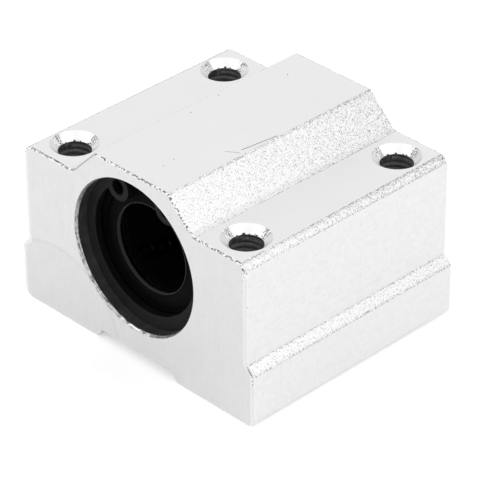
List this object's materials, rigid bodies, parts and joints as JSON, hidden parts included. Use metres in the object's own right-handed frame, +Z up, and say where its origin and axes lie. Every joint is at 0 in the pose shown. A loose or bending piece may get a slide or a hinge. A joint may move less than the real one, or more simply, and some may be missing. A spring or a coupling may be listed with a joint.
{
  "type": "linear bearing block",
  "caption": "Aluminium pillow block with a recirculating-ball linear bearing held in its bore by internal retaining rings, rubber shaft seals and threaded mounting holes through its shoulders.",
  "frame": {"origin": "middle of the block's base, at the height of the surface it is fastened to", "axes": "+X across the block, +Y along the shaft, +Z up from the base to the humped top"},
  "size_m": [0.042, 0.035, 0.0272],
  "materials": {
    "housing_aluminium": "milled faces with fine blasted extruded slopes",
    "bearing_steel": "ground",
    "ring_steel": "black phosphate",
    "side_ring_steel": "stamped",
    "ball_steel": "polished",
    "cage_plastic": "moulded",
    "seal_rubber": "moulded"
  },
  "bodies": {
    "root": {"housing": "housing_aluminium", "bearing_sleeve": "bearing_steel", "ball_cage": "cage_plastic", "front_retaining_ring": "ring_steel", "rear_retaining_ring": "ring_steel", "front_side_ring": "side_ring_steel", "rear_side_ring": "side_ring_steel", "front_seal": "seal_rubber", "rear_seal": "seal_rubber", "load_row_1": "ball_steel", "load_row_2": "ball_steel", "load_row_3": "ball_steel", "load_row_4": "ball_steel", "return_row_1": "ball_steel", "return_row_2": "ball_steel", "return_row_3": "ball_steel", "return_row_4": "ball_steel", "front_turn_1": "ball_steel", "front_turn_2": "ball_steel", "front_turn_3": "ball_steel", "front_turn_4": "ball_steel", "rear_turn_1": "ball_steel", "rear_turn_2": "ball_steel", "rear_turn_3": "ball_steel", "rear_turn_4": "ball_steel"}
  },
  "joints": []
}
